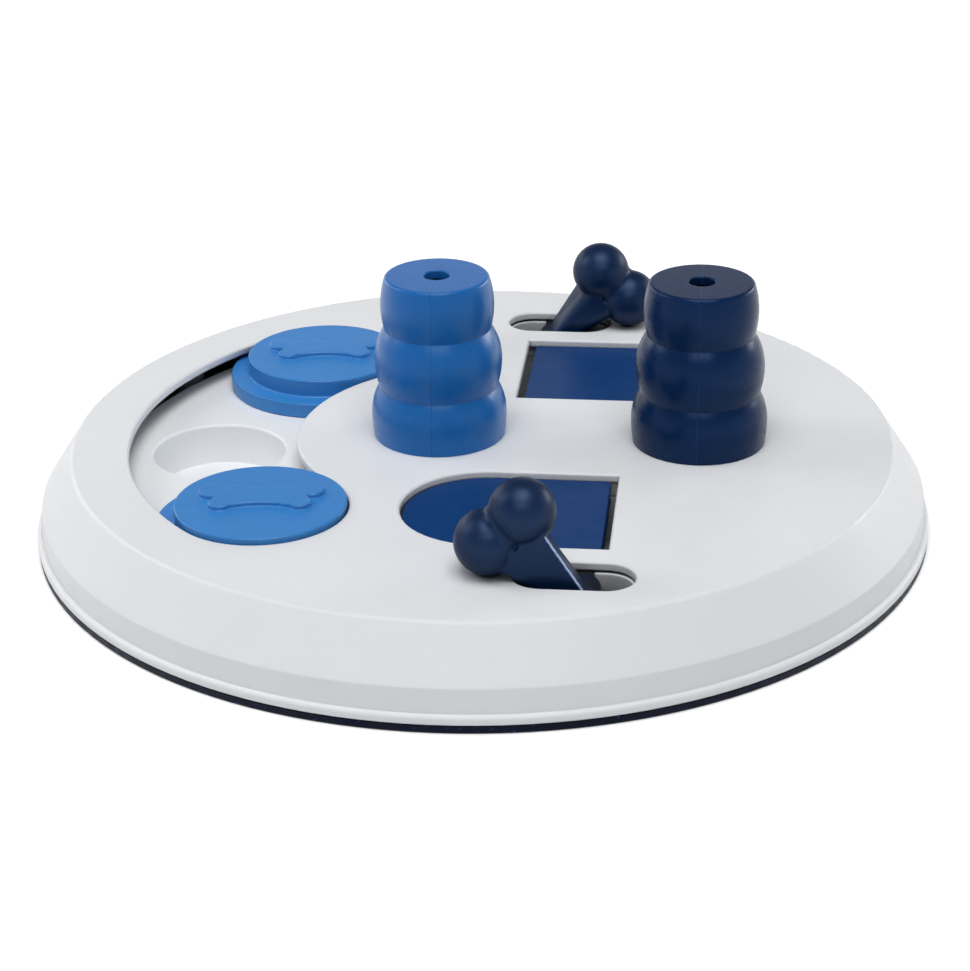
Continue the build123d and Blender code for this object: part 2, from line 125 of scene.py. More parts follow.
class LeverSettings(bpy.types.PropertyGroup):
    """The bone levers."""

    lean: bpy.props.FloatProperty(
        name="Lean", description="From upright towards the flap, at rest", default=math.radians(44.5), subtype="ANGLE"
    )
    knob_radius: bpy.props.FloatProperty(
        name="Knob radius", description="Each of the two round knobs", default=7.8 * MM, unit="LENGTH"
    )
    knob_spread: bpy.props.FloatProperty(
        name="Knob spread", description="Each knob's centre from the shank's line", default=5.55 * MM, unit="LENGTH"
    )
    knob_height: bpy.props.FloatProperty(
        name="Knob height", description="Knob centres from the axle", default=25.1 * MM, unit="LENGTH"
    )
    crease: bpy.props.IntProperty(
        name="Crease passes", description="Smoothing passes where the shank meets the knobs", default=6
    )


class FlapSettings(bpy.types.PropertyGroup):
    """The sunk flaps."""

    thickness: bpy.props.FloatProperty(
        name="Thickness", description="The flap's plate", default=2.0 * MM, unit="LENGTH"
    )
    corner_round: bpy.props.FloatProperty(
        name="Corner round", description="The two corners at the hinge", default=1.3 * MM, unit="LENGTH"
    )
    edge_round: bpy.props.FloatProperty(
        name="Edge round", description="Radius of the upper edge", default=0.35 * MM, unit="LENGTH"
    )


class ColourSettings(bpy.types.PropertyGroup):
    """The moulded colours."""

    deck: bpy.props.FloatVectorProperty(
        name="Deck white", description="Board, track and base", default=(0.76, 0.775, 0.795), subtype="COLOR"
    )
    lid: bpy.props.FloatVectorProperty(
        name="Lid blue", description="The sliding lids", default=(0.034, 0.215, 0.57), subtype="COLOR"
    )
    light: bpy.props.FloatVectorProperty(
        name="Light blue", description="The light hat", default=(0.012, 0.130, 0.42), subtype="COLOR"
    )
    navy: bpy.props.FloatVectorProperty(
        name="Navy", description="Levers, flaps and one hat", default=(0.002, 0.017, 0.066), subtype="COLOR"
    )
    ring: bpy.props.FloatVectorProperty(
        name="Ring", description="Anti-slip ring", default=(0.003, 0.006, 0.020), subtype="COLOR"
    )


class StageSettings(bpy.types.PropertyGroup):
    """Floor, light and camera."""

    ambient: bpy.props.FloatProperty(
        name="Ambient", description="Strength of the white surroundings", default=0.15
    )
    soft_box: bpy.props.FloatProperty(
        name="Soft box", description="Power of the wide lamp overhead", default=15.8, unit="POWER"
    )
    left_lamp: bpy.props.FloatProperty(
        name="Left lamp", description="Power of the lamp at the left", default=3.0, unit="POWER"
    )
    rim_lamp: bpy.props.FloatProperty(
        name="Rim lamps", description="Power of the long lamps low behind the feeder", default=3.3, unit="POWER"
    )
    floor_size: bpy.props.FloatProperty(
        name="Floor size", description="Side of the square floor", default=8.0, unit="LENGTH"
    )
    lens: bpy.props.FloatProperty(
        name="Lens", description="Focal length for a 36 mm high frame, in millimetres", default=96.19
    )
    camera_place: bpy.props.FloatVectorProperty(
        name="Camera place", description="Where the camera stands", default=(0.06714, -0.60287, 0.28625), unit="LENGTH"
    )
    camera_turn: bpy.props.FloatVectorProperty(
        name="Camera turn",
        description="Upward tilt from straight down, roll and heading",
        default=(math.radians(90 - 24.645), math.radians(-0.796), math.radians(6.3)),
        subtype="EULER",
    )


class FeederSettings(bpy.types.PropertyGroup):
    """All settings of the feeder."""

    lid: bpy.props.PointerProperty(type=LidSettings)
    hat: bpy.props.PointerProperty(type=HatSettings)
    lever: bpy.props.PointerProperty(type=LeverSettings)
    flap: bpy.props.PointerProperty(type=FlapSettings)
    colour: bpy.props.PointerProperty(type=ColourSettings)
    stage: bpy.props.PointerProperty(type=StageSettings)


def settings():
    """The scene's settings."""
    return bpy.context.scene.feeder


# ---------------------------------------------------------------- finishes
class Finish:
    """A moulded finish, built up in layers on its colour, its roughness and its height in millimetres."""

    def __init__(self, name, colour, roughness, shine=(0.3, 0.5), gloss_tint=(1.0, 1.0, 1.0), edge_round=0.0):
        self.material = bpy.data.materials.new(f"{name}_finish")
        self.material.use_nodes = True
        self.surface = self.material.node_tree.nodes["Principled BSDF"]
        self.place = self.node("ShaderNodeTexCoord").outputs["Object"]
        self.colour = (*colour, 1.0)
        self.base = self.colour
        self.roughness = roughness
        self.height = 0.0
        self.edge_round = edge_round
        slant = self.node("ShaderNodeLayerWeight")
        self.feed(slant.inputs["Blend"], 0.5)
        self.feed(self.surface.inputs["Specular IOR Level"], self.spread(slant.outputs["Facing"], 0.1, 0.6, *shine))
        self.feed(self.surface.inputs["Specular Tint"], (*gloss_tint, 1.0))

    def node(self, kind, **values):
        """A node of the material with its own settings."""
        made = self.material.node_tree.nodes.new(kind)
        for key, value in values.items():
            setattr(made, key, value)
        return made

    def feed(self, socket, value):
        """Gives a socket a number, a colour or another node's output."""
        if isinstance(value, bpy.types.NodeSocket):
            self.material.node_tree.links.new(value, socket)
        else:
            socket.default_value = value

    def reckon(self, operation, first, second=0.0):
        """One sum of two values."""
        made = self.node("ShaderNodeMath", operation=operation)
        self.feed(made.inputs[0], first)
        self.feed(made.inputs[1], second)
        return made.outputs[0]

    def spread(self, value, low, high, to_low, to_high):
        """A value moved from one range to another, held at its ends."""
        made = self.node("ShaderNodeMapRange", interpolation_type="SMOOTHSTEP")
        for socket, number in zip(made.inputs, (value, low, high, to_low, to_high)):
            self.feed(socket, number)
        return made.outputs[0]

    def noise(self, size, detail=2.0, stretch=(1.0, 1.0, 1.0), turn=0.0):
        """Noise with features of a size in metres, drawn out along an axis where stretch is below one."""
        mapping = self.node("ShaderNodeMapping", vector_type="POINT")
        self.feed(mapping.inputs["Vector"], self.place)
        self.feed(mapping.inputs["Rotation"], (0.0, 0.0, turn))
        self.feed(mapping.inputs["Scale"], stretch)
        made = self.node("ShaderNodeTexNoise")
        self.feed(made.inputs["Vector"], mapping.outputs[0])
        self.feed(made.inputs["Scale"], 1.0 / size)
        self.feed(made.inputs["Detail"], detail)
        return made.outputs["Fac"]

    def tint(self, share, colour):
        """Lays a colour over what is there, where share is high."""
        made = self.node("ShaderNodeMix", data_type="RGBA")
        self.feed(made.inputs["Factor"], share)
        self.feed(made.inputs["A"], self.colour)
        self.feed(made.inputs["B"], (*colour[:3], 1.0))
        self.colour = made.outputs["Result"]
        return self

    def shade(self, factor):
        """The base colour, lighter or darker."""
        return tuple(min(1.0, factor * c) for c in self.base[:3])

    def raise_by(self, value, depth):
        """Adds a height in millimetres."""
        self.height = self.reckon("ADD", self.height, self.reckon("MULTIPLY", value, depth))
        return self

    def mottle(self, size, amount):
        """Faint clouds left by the flow of the plastic."""
        return self.tint(self.spread(self.noise(size), 0.3, 0.7, 0.0, 1.0), self.shade(1.0 - amount))

    def uneven_gloss(self, size, amount):
        """Duller and glossier areas."""
        middle_value = self.roughness
        clouds = self.noise(size)
        self.roughness = self.spread(clouds, 0.3, 0.7, middle_value - amount, middle_value + amount)
        return self

    def grain(self, size, depth):
        """The fine spark-eroded grain of the mould."""
        return self.raise_by(self.noise(size, detail=1.0), depth)

    def scratches(self, turn, tone, rarity=0.70, width=0.25 * MM, length=9 * MM, depth=-0.01):
        """Thin scuffs along one direction."""
        streaks = self.noise(width, detail=0.0, stretch=(width / length, 1.0, width / length), turn=turn)
        patches = self.spread(self.noise(14 * MM, detail=1.0), 0.5, 0.62, 0.0, 1.0)
        line = self.reckon("MULTIPLY", self.spread(streaks, rarity, rarity + 0.06, 0.0, 1.0), patches)
        self.tint(self.reckon("MULTIPLY", line, 0.5), self.shade(tone))
        return self.raise_by(line, depth)

    def specks(self, size, rarity, tone):
        """Small scattered nicks."""
        spots = self.spread(self.noise(size, detail=0.0), rarity, rarity + 0.04, 0.0, 1.0)
        return self.tint(spots, tone)

    def seam(self, x, half, tone, depth):
        """The mould's parting line, in the upright plane at x."""
        axes = self.node("ShaderNodeSeparateXYZ")
        self.feed(axes.inputs[0], self.place)
        wander = self.reckon("MULTIPLY", self.reckon("SUBTRACT", self.noise(9 * MM), 0.5), 0.5 * MM)
        gap = self.reckon("ABSOLUTE", self.reckon("ADD", self.reckon("SUBTRACT", axes.outputs["X"], x), wander))
        line = self.spread(gap, 0.0, half, 1.0, 0.0)
        faded = self.reckon("MULTIPLY", line, self.spread(self.noise(5 * MM), 0.35, 0.6, 0.15, 1.0))
        self.tint(self.reckon("MULTIPLY", faded, 0.55), self.shade(tone))
        return self.raise_by(line, depth)

    def painted_highlight(self, colour):
        """A painted highlight: paler where the mesh is marked for it."""
        marks = self.node("ShaderNodeAttribute", attribute_name="painted_highlight").outputs["Fac"]
        return self.tint(marks, colour)

    def crevice_shade(self, reach, depth, tone):
        """Painted shade: darker where the surface lies deep in a gap, within reach of what covers it."""
        cover = self.node("ShaderNodeAmbientOcclusion", samples=8)
        self.feed(cover.inputs["Distance"], reach)
        return self.tint(self.spread(cover.outputs["AO"], 0.0, depth, 1.0, 0.0), self.shade(tone))

    def done(self):
        """Joins the layers to the shader."""
        bump = self.node("ShaderNodeBump")
        if self.edge_round:
            corner = self.node("ShaderNodeBevel", samples=6)
            self.feed(corner.inputs["Radius"], self.edge_round)
            self.feed(bump.inputs["Normal"], corner.outputs["Normal"])
        self.feed(bump.inputs["Distance"], MM)
        self.feed(bump.inputs["Height"], self.height)
        self.feed(self.surface.inputs["Normal"], bump.outputs["Normal"])
        self.feed(self.surface.inputs["Base Color"], self.colour)
        self.feed(self.surface.inputs["Roughness"], self.roughness)
        return self.material


def deck_white():
    """The board's satin white, a little cool."""
    finish = Finish("deck_white", settings().colour.deck, 0.42, edge_round=0.7 * MM)
    finish.mottle(22 * MM, 0.025).mottle(1.6 * MM, 0.012)
    # Painted shade in the gaps, wells and slots, and under the deck's edges.
    finish.crevice_shade(20 * MM, 0.50, 0.08)
    finish.uneven_gloss(7 * MM, 0.05)
    finish.grain(0.4 * MM, 0.004)
    return finish.done()


def track_white():
    """The channel's floor, glossier than the deck and a little scuffed."""
    finish = Finish("track_white", tuple(1.1 * c for c in settings().colour.deck), 0.36)
    finish.mottle(16 * MM, 0.03).mottle(1.5 * MM, 0.012)
    finish.scratches(math.radians(70), 0.9).scratches(math.radians(112), 0.92)
    # Painted shade on the floor under the deck's edge.
    finish.crevice_shade(6 * MM, 0.36, 0.10)
    finish.uneven_gloss(5 * MM, 0.06)
    finish.grain(0.4 * MM, 0.003)
    return finish.done()


BLUE_SHINE = (0.26, 0.50)  # straight on and at a slant
NAVY_SHINE = (0.26, 0.22)
NAVY_TINT = (0.38, 0.58, 1.0)
BLUE_TINT = (0.72, 0.90, 1.0)


def light_blue():
    """The lids' light blue."""
    finish = Finish("light_blue", settings().colour.lid, 0.36, (0.4, 0.3))
    finish.mottle(9 * MM, 0.05).mottle(0.9 * MM, 0.04)
    finish.scratches(math.radians(25), 1.5, rarity=0.74).scratches(math.radians(140), 1.4, rarity=0.74)
    finish.uneven_gloss(4 * MM, 0.04)
    finish.grain(0.5 * MM, 0.0012)
    return finish.done()


def hat_blue():
    """The light hat's blue, with its parting line."""
    finish = Finish("hat_blue", settings().colour.light, 0.30, BLUE_SHINE, BLUE_TINT)
    finish.mottle(9 * MM, 0.05)
    finish.seam(middle("hat_light").x, 2 * settings().hat.seam_width, 0.45, 0.03)
    finish.uneven_gloss(2.5 * MM, 0.03)
    finish.grain(0.5 * MM, 0.0012)
    return finish.done()


def hat_navy():
    """The dark hat's navy, with its parting line."""
    finish = Finish("hat_navy", settings().colour.navy, 0.28, NAVY_SHINE, NAVY_TINT)
    finish.mottle(9 * MM, 0.08)
    finish.seam(middle("hat_dark").x, 2 * settings().hat.seam_width, 3.0, 0.03)
    finish.uneven_gloss(2.5 * MM, 0.03)
    finish.grain(0.5 * MM, 0.0012)
    return finish.done()


def navy_blue():
    """The levers' navy."""
    finish = Finish("navy_blue", tuple(0.75 * c for c in settings().colour.navy), 0.40, (0.50, 0.14), NAVY_TINT)
    finish.mottle(8 * MM, 0.08).mottle(0.9 * MM, 0.06)
    finish.specks(0.55 * MM, 0.84, finish.shade(2.5))
    # Painted highlight: a pale line along the shank's upper front corner.
    finish.painted_highlight((0.48, 0.60, 0.92))
    finish.uneven_gloss(4 * MM, 0.04)
    finish.grain(0.5 * MM, 0.005)
    return finish.done()


def hinge_shaded_navy():
    """The hubs and axles under the deck, nearly black: painted shade for the dark slot around them."""
    # Painted shade: the navy at 0.35 of its strength.
    finish = Finish("hinge_shaded_navy", tuple(0.35 * c for c in settings().colour.navy), 0.5, (0.1, 0.3))
    finish.mottle(4 * MM, 0.2)
    finish.uneven_gloss(2 * MM, 0.06)
    finish.grain(0.3 * MM, 0.01)
    return finish.done()


def flap_navy():
    """The flaps' navy, scuffed by paws."""
    finish = Finish("flap_navy", tuple(2.4 * c for c in settings().colour.navy), 0.42, (0.08, 0.16), NAVY_TINT)
    finish.mottle(14 * MM, 0.10).mottle(1.0 * MM, 0.05)
    finish.scratches(math.radians(8), 1.9, rarity=0.74).scratches(math.radians(96), 1.9, rarity=0.75)
    finish.specks(0.6 * MM, 0.81, finish.shade(2.5))
    finish.uneven_gloss(6 * MM, 0.04)
    finish.grain(0.5 * MM, 0.0012)
    return finish.done()


def ring_rubber():
    """The ring's matte rubber, nicked here and there."""
    finish = Finish("ring_rubber", settings().colour.ring, 0.6, (0.1, 0.3))
    finish.mottle(6 * MM, 0.25)
    finish.specks(0.9 * MM, 0.76, finish.shade(7.0))
    finish.uneven_gloss(3 * MM, 0.08)
    finish.grain(0.5 * MM, 0.03)
    return finish.done()


def screw_steel():
    """Zinc-plated screws."""
    finish = Finish("screw_steel", (0.58, 0.58, 0.60), 0.32)
    finish.feed(finish.surface.inputs["Metallic"], 1.0)
    finish.mottle(1.0 * MM, 0.12)
    finish.uneven_gloss(0.6 * MM, 0.08)
    finish.grain(0.15 * MM, 0.004)
    return finish.done()


FINISHES = (
    deck_white,
    track_white,
    light_blue,
    hat_blue,
    hat_navy,
    navy_blue,
    hinge_shaded_navy,
    flap_navy,
    ring_rubber,
    screw_steel,
)


def finish_named(name):
    """A finish by name, made the first time that it is asked for."""
    makers = {maker.__name__: maker for maker in FINISHES}
    return bpy.data.materials.get(f"{name}_finish") or makers[name]()


def dress_node(node, finish):
    """Gives a node of the frame its finish."""
    slots = NODES[node].material_slots
    for slot in slots:
        slot.material = finish_named(finish)


# ---------------------------------------------------------------- modelling helpers
def clear_selection():
    """Nothing selected, in object mode."""
    if bpy.context.mode != "OBJECT":
        bpy.ops.object.mode_set(mode="OBJECT")
    bpy.ops.object.select_all(action="DESELECT")


def pick(*pieces):
    """Selects these pieces, the last one active."""
    clear_selection()
    for piece in pieces:
        piece.select_set(True)
        bpy.context.view_layer.objects.active = piece


def named(name):
    """Names the piece just added."""
    piece = bpy.context.object
    piece.name = name
    piece.data.name = name
    return piece


def applied(piece):
    """Moves a piece's place, turn and scale into its mesh."""
    pick(piece)
    bpy.ops.object.transform_apply(location=True, rotation=True, scale=True)
    return piece


def tidy_mesh(piece, merge=0.002 * MM):
    """Merges doubles and points every face outwards."""
    pick(piece)
    bpy.ops.object.mode_set(mode="EDIT")
    bpy.ops.mesh.select_all(action="SELECT")
    bpy.ops.mesh.remove_doubles(threshold=merge)
    bpy.ops.mesh.normals_make_consistent(inside=False)
    bpy.ops.object.mode_set(mode="OBJECT")
    return piece


def triangles(piece):
    """Splits every face with more than four corners, so that the flat ones round a cut-out shade evenly."""
    pick(piece)
    bpy.ops.object.mode_set(mode="EDIT")
    bpy.ops.mesh.select_all(action="DESELECT")
    bpy.ops.mesh.select_mode(type="FACE")
    bpy.ops.mesh.select_face_by_sides(number=4, type="GREATER")
    bpy.ops.mesh.quads_convert_to_tris(ngon_method="BEAUTY")
    bpy.ops.object.mode_set(mode="OBJECT")
    return piece


def soften(corners, steps=5):
    """A turning profile from (radius, height, round) corners, with each corner rounded."""
    points = [corners[0][:2]]
    for before, (r, z, size), after in zip(corners, corners[1:], corners[2:]):
        corner = Vector((r, z))
        if size == 0:
            points.append((r, z))
            continue
        back = (Vector(before[:2]) - corner).normalized()
        on = (Vector(after[:2]) - corner).normalized()
        half = back.angle(on) / 2
        centre = corner + (back + on).normalized() * size / math.sin(half)
        start = corner + back * size / math.tan(half) - centre
        end = corner + on * size / math.tan(half) - centre
        sweep = start.angle_signed(end)
        for k in range(steps + 1):
            turned_by = Matrix.Rotation(-sweep * k / steps, 2)
            points.append(tuple(centre + turned_by @ start))
    points.append(corners[-1][:2])
    return points


def turned(name, profile, place=(0.0, 0.0), sides=144):
    """A turned piece: one ring, pulled and sized from point to point of a (radius, height) profile."""
    clear_selection()
    radius, height = profile[0]
    bpy.ops.mesh.primitive_circle_add(vertices=sides, radius=radius, location=(*place, height))
    piece = named(name)
    bpy.ops.object.mode_set(mode="EDIT")
    bpy.ops.mesh.select_mode(type="VERT")
    bpy.ops.mesh.select_all(action="SELECT")
    for next_radius, next_height in profile[1:]:
        bpy.ops.mesh.extrude_region_move(TRANSFORM_OT_translate={"value": (0, 0, next_height - height)})
        factor = next_radius / radius
        bpy.ops.transform.resize(value=(factor, factor, 1), center_override=(*place, next_height))
        radius, height = next_radius, next_height
    bpy.ops.mesh.select_all(action="SELECT")
    bpy.ops.mesh.remove_doubles(threshold=0.002 * MM)
    bpy.ops.mesh.select_all(action="DESELECT")
    bpy.ops.mesh.select_non_manifold()
    bpy.ops.mesh.fill_holes(sides=0)
    return tidy_mesh(applied(piece))


def box_piece(name, low, high):
    """A box between two corners."""
    clear_selection()
    low, high = Vector(low), Vector(high)
    bpy.ops.mesh.primitive_cube_add(size=1, location=(low + high) / 2, scale=high - low)
    return applied(named(name))


def rod_piece(name, radius, low, high, place, sides=96):
    """An upright cylinder."""
    clear_selection()
    bpy.ops.mesh.primitive_cylinder_add(
        vertices=sides, radius=radius, depth=high - low, location=(*place, (low + high) / 2)
    )
    return applied(named(name))


def combine(piece, other, operation):
    """Joins, cuts or keeps the common part of two pieces; the other one is used up."""
    pick(piece)
    modifier = piece.modifiers.new("combine", "BOOLEAN")
    modifier.operation = operation
    modifier.solver = "EXACT"
    modifier.object = other
    bpy.ops.object.modifier_apply(modifier=modifier.name)
    bpy.data.objects.remove(other, do_unlink=True)
    return piece


def soften_edges(piece, width, steps, chosen, percent=None):
    """Bevels the edges that chosen(edge) picks, by a width or by a percentage of the faces beside them."""
    pick(piece)
    bpy.ops.object.mode_set(mode="EDIT")
    bpy.ops.mesh.select_mode(type="EDGE")
    bpy.ops.mesh.select_all(action="DESELECT")
    mesh = bmesh.from_edit_mesh(piece.data)
    for edge in mesh.edges:
        edge.select = edge.is_manifold and chosen(edge)
    bmesh.update_edit_mesh(piece.data)
    if percent:
        bpy.ops.mesh.bevel(offset_type="PERCENT", offset_pct=percent, segments=steps, affect="EDGES")
    else:
        bpy.ops.mesh.bevel(offset=width, segments=steps, affect="EDGES")
    bpy.ops.object.mode_set(mode="OBJECT")
    return piece


def rim_at(height):
    """Picks the sharp edges that lie at a height."""
    return lambda edge: (
        all(abs(v.co.z - height) < 0.01 * MM for v in edge.verts) and edge.calc_face_angle(0) > math.radians(50)
    )


def upright_edges(chosen):
    """Picks the edges that stand upright and that chosen(edge) also wants."""
    return lambda edge: abs(edge.verts[0].co.z - edge.verts[1].co.z) > 0.5 * MM and chosen(edge)


def trim_level(piece, low, high):
    """Cuts a piece off flat at two heights."""
    pick(piece)
    for height, below in ((low, True), (high, False)):
        bpy.ops.object.mode_set(mode="EDIT")
        bpy.ops.mesh.select_all(action="SELECT")
        bpy.ops.mesh.bisect(
            plane_co=(0, 0, height),
            plane_no=(0, 0, 1),
            use_fill=True,
            clear_inner=below,
            clear_outer=not below,
            threshold=0.001 * MM,
        )
        bpy.ops.object.mode_set(mode="OBJECT")
    return tidy_mesh(piece)


def copy_of(piece, name):
    """A copy with its own mesh."""
    pick(piece)
    bpy.ops.object.duplicate(linked=False)
    return named(name)


def half_turn(piece):
    """Turns a piece of the front flap unit round to the rear one."""
    pick(piece)
    bpy.ops.transform.rotate(value=math.pi, orient_axis="Z", center_override=(PAIR.x, PAIR.y, 0))
    return applied(piece)


def dress(piece, finish, body, nodes=()):
    """Finish, body and slot of a finished piece, and the nodes that it stands for."""
    piece.data.materials.clear()
    piece.data.materials.append(finish_named(finish))
    pick(piece)
    bpy.ops.object.shade_smooth_by_angle(angle=math.radians(32))
    even = piece.modifiers.new("even", "WEIGHTED_NORMAL")
    even.keep_sharp = True
    bpy.ops.object.modifier_apply(modifier=even.name)
    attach(piece, body)
    if nodes:
        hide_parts(*nodes)
    return piece


# ---------------------------------------------------------------- casing
class FEEDER_OT_casing(bpy.types.Operator):
    """Finish the board, the base, the track and the anti-slip ring"""

    bl_idname = "feeder.casing"
    bl_label = "Casing"

    def execute(self, context):
        dress_node("top_shell", "deck_white")
        dress_node("base_tray", "deck_white")
        dress_node("slider_track", "track_white")
        dress_node("anti_slip_ring", "ring_rubber")
        return {"FINISHED"}


# ---------------------------------------------------------------- lids
FAR_KNOB, FAR_X, FAR_Y = 3.6 * MM, 11.7 * MM, 4.5 * MM  # radius and place of the far pair of knobs
NEAR_KNOB, NEAR_X, NEAR_Y = 2.9 * MM, 9.6 * MM, -2.4 * MM
FAR_WAIST, NEAR_WAIST = 5.8 * MM, -2.7 * MM  # the two long sides at the waist
NOTCH_X, NOTCH_Y = 11.5 * MM, 0.6 * MM


def waist(name, half_span, edge, waist_edge, low, high):
    """The big cylinder that hollows one long side, from the knobs' edge to the waist."""
    sag = abs(edge - waist_edge)
    bend = (half_span**2 + sag**2) / (2 * sag)
    away = math.copysign(bend, edge)
    return rod_piece(name, bend, low, high, (0.0, waist_edge + away), sides=256)


def bone_relief(low, high):
    """The stubby bone on a lid: four round knobs on a waisted body, with softened notches and upper edge."""
    lid = settings().lid
    over = 0.1 * MM  # each part overruns the last, so that no faces coincide before the bone is trimmed
    far_edge, near_edge = FAR_Y + FAR_KNOB, NEAR_Y - NEAR_KNOB
    bone = box_piece("relief", (-NEAR_X, near_edge, low - over), (NEAR_X, NOTCH_Y, high + over))
    for half, near, far in ((NOTCH_X, NEAR_Y, FAR_Y), (FAR_X, FAR_Y - MM, far_edge)):
        over += 0.1 * MM
        block = box_piece("block", (-half, near, low - over), (half, far, high + over))
        combine(bone, block, "UNION")
    combine(bone, waist("waist_far", FAR_X, far_edge, FAR_WAIST, low - MM, high + MM), "DIFFERENCE")
    combine(bone, waist("waist_near", NEAR_X, near_edge, NEAR_WAIST, low - MM, high + MM), "DIFFERENCE")
    for x, y, radius in ((FAR_X, FAR_Y, FAR_KNOB), (NEAR_X, NEAR_Y, NEAR_KNOB)):
        for side in (-1, 1):
            over += 0.1 * MM
            combine(bone, rod_piece("knob", radius, low - over, high + over, (side * x, y), sides=40), "UNION")
    trim_level(bone, low, high)
    soften_edges(bone, 0.35 * MM, 3, upright_edges(lambda edge: edge.calc_face_angle(0) > math.radians(25)))
    soften_edges(bone, lid.relief_round, 4, rim_at(high))
    return bone


def make_lid(node, name, body):
    """One lid: flange, hollow disc and the bone on it."""
    lid = settings().lid
    low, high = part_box(node)
    centre = (low + high) / 2
    flange = half_width(node)
    flange_top = low.z + lid.flange_thickness
    top = high.z - lid.relief_height
    core = lid.disc_radius - lid.wall
    ceiling = top - lid.wall
    profile = soften([
        (core - MM, ceiling, 0),
        (core, ceiling, 0.8 * MM),
        (core, low.z, 0.3 * MM),
        (flange, low.z, lid.edge_round),
        (flange, flange_top, lid.edge_round),
        (lid.disc_radius, flange_top, 0.6 * MM),
        (lid.disc_radius, top, lid.edge_round),
        (lid.disc_radius - 2 * lid.edge_round, top, 0),
    ])
    piece = turned(name, profile)
    bone = bone_relief(top - 0.6 * MM, high.z)
    pick(bone)
    bone.rotation_euler.z = lid.relief_turn
    combine(piece, applied(bone), "UNION")
    soften_edges(tidy_mesh(piece), 0.3 * MM, 3, lambda edge: rim_at(top)(edge))
    piece.location = (centre.x, centre.y, 0)
    return dress(triangles(tidy_mesh(applied(piece))), "light_blue", body, [node])


class FEEDER_OT_lids(bpy.types.Operator):
    """Model the two sliding lids"""

    bl_idname = "feeder.lids"
    bl_label = "Sliding lids"

    def execute(self, context):
        make_lid("slider_front", "lid_front", "front_lid")
        make_lid("slider_rear", "lid_rear", "rear_lid")
        return {"FINISHED"}


# ---------------------------------------------------------------- hats
TIERS = (  # widest radius, radius at the top, height, from the foot up
    (17.1 * MM, 15.0 * MM, 13.3 * MM),
    (16.1 * MM, 13.5 * MM, 15.4 * MM),
    (14.25 * MM, 13.0 * MM, 13.5 * MM),
)
FOOT_RADIUS = 16.6 * MM
BELLY_SHARE = 0.45  # height of a tier's widest point within the tier


def bulge(start, belly, steps):
    """Points from start up or down to a belly, where the curve stands upright."""
    out = belly[0] - start[0]
    rise = belly[1] - start[1]
    radius = (out**2 + rise**2) / (2 * out)
    full = math.asin(rise / radius)
    return [
        (belly[0] - radius * (1 - math.cos(full * (1 - k / steps))), belly[1] - radius * math.sin(full * (1 - k / steps)))
        for k in range(steps + 1)
    ]


def hat_outside():
    """The outline of the three tiers, from the foot to the crown."""
    points = []
    radius, height = FOOT_RADIUS, DECK
    for widest, top_radius, rise in TIERS:
        belly = (widest, height + BELLY_SHARE * rise)
        upper = (top_radius, height + rise)
        points += bulge((radius, height), belly, 8)[:-1]
        points += list(reversed(bulge(upper, belly, 10)))
        radius, height = upper
    return points


def make_hat(node, name, body, finish):
    """One hat: three swelling tiers, a scent hole, and the spigot that drops into its dish."""
    hat = settings().hat
    low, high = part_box(node)
    centre = middle(node)
    outside = hat_outside()
    rim = outside[-1]
    ledge = DECK + 1.8 * MM
    spigot = 12.65 * MM
    bore = spigot - 1.5 * MM
    ceiling = high.z - hat.wall
    inside = [
        (*outside[-3], 0),
        (*rim, hat.crown_round),
        (hat.hole_radius, high.z, 0.35 * MM),
        (hat.hole_radius, ceiling, 0.2 * MM),
        (rim[0] - hat.wall, ceiling, 1.5 * MM),
        (FOOT_RADIUS - hat.wall, ledge, 0.8 * MM),
        (bore, ledge, 0.2 * MM),
        (bore, low.z, 0.2 * MM),
        (spigot, low.z, 0.3 * MM),
        (spigot, DECK, 0.1 * MM),
        (*outside[0], 0),
    ]
    profile = outside[:-2] + soften(inside)[1:]
    piece = turned(name, profile, (centre.x, centre.y), sides=160)
    return dress(piece, finish, body, [node])


class FEEDER_OT_hats(bpy.types.Operator):
    """Model the two stacked-tier hats"""

    bl_idname = "feeder.hats"
    bl_label = "Hats"

    def execute(self, context):
        make_hat("hat_light", "stacked_hat_light", "light_hat", "hat_blue")
        make_hat("hat_dark", "stacked_hat_dark", "dark_hat", "hat_navy")
        return {"FINISHED"}


# ---------------------------------------------------------------- flaps
def front_flap():
    """The front flap: a tongue with one round end, its barrel and web, and the round bore."""
    flap = settings().flap
    low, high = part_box("flap_front")
    under = high.z - flap.thickness
    nose = (high.y - low.y) / 2
    row = (high.y + low.y) / 2
    piece = rod_piece("sunk_flap_front", nose, under, high.z, (low.x + nose, row), sides=160)
    plate = box_piece("plate", (low.x + nose, low.y, under), (high.x, high.y, high.z))
    soften_edges(
        plate,
        flap.corner_round,
        6,
        lambda e: all(v.co.x > high.x - 0.01 * MM for v in e.verts) and abs(e.verts[0].co.z - e.verts[1].co.z) > MM,
    )
    combine(piece, plate, "UNION")
    soften_edges(piece, flap.edge_round, 4, rim_at(high.z))
    barrel_radius = AXLE.z - low.z
    inset = flap.corner_round
    clear_selection()
    bpy.ops.mesh.primitive_cylinder_add(
        vertices=64, radius=barrel_radius, depth=2 * (nose - inset), location=(AXLE.x, row, AXLE.z), rotation=(math.pi / 2, 0, 0)
    )
    barrel = applied(named("barrel"))
    web = box_piece(
        "web", (AXLE.x - 1.1 * barrel_radius, low.y + inset, AXLE.z), (AXLE.x, high.y - inset, under + 0.5 * MM)
    )
    combine(barrel, web, "UNION")
    combine(piece, barrel, "UNION")
    clear_selection()
    bpy.ops.mesh.primitive_cylinder_add(
        vertices=48, radius=2.05 * MM, depth=3 * nose, location=(AXLE.x, row, AXLE.z), rotation=(math.pi / 2, 0, 0)
    )
    combine(piece, applied(named("bore")), "DIFFERENCE")
    return tidy_mesh(piece)


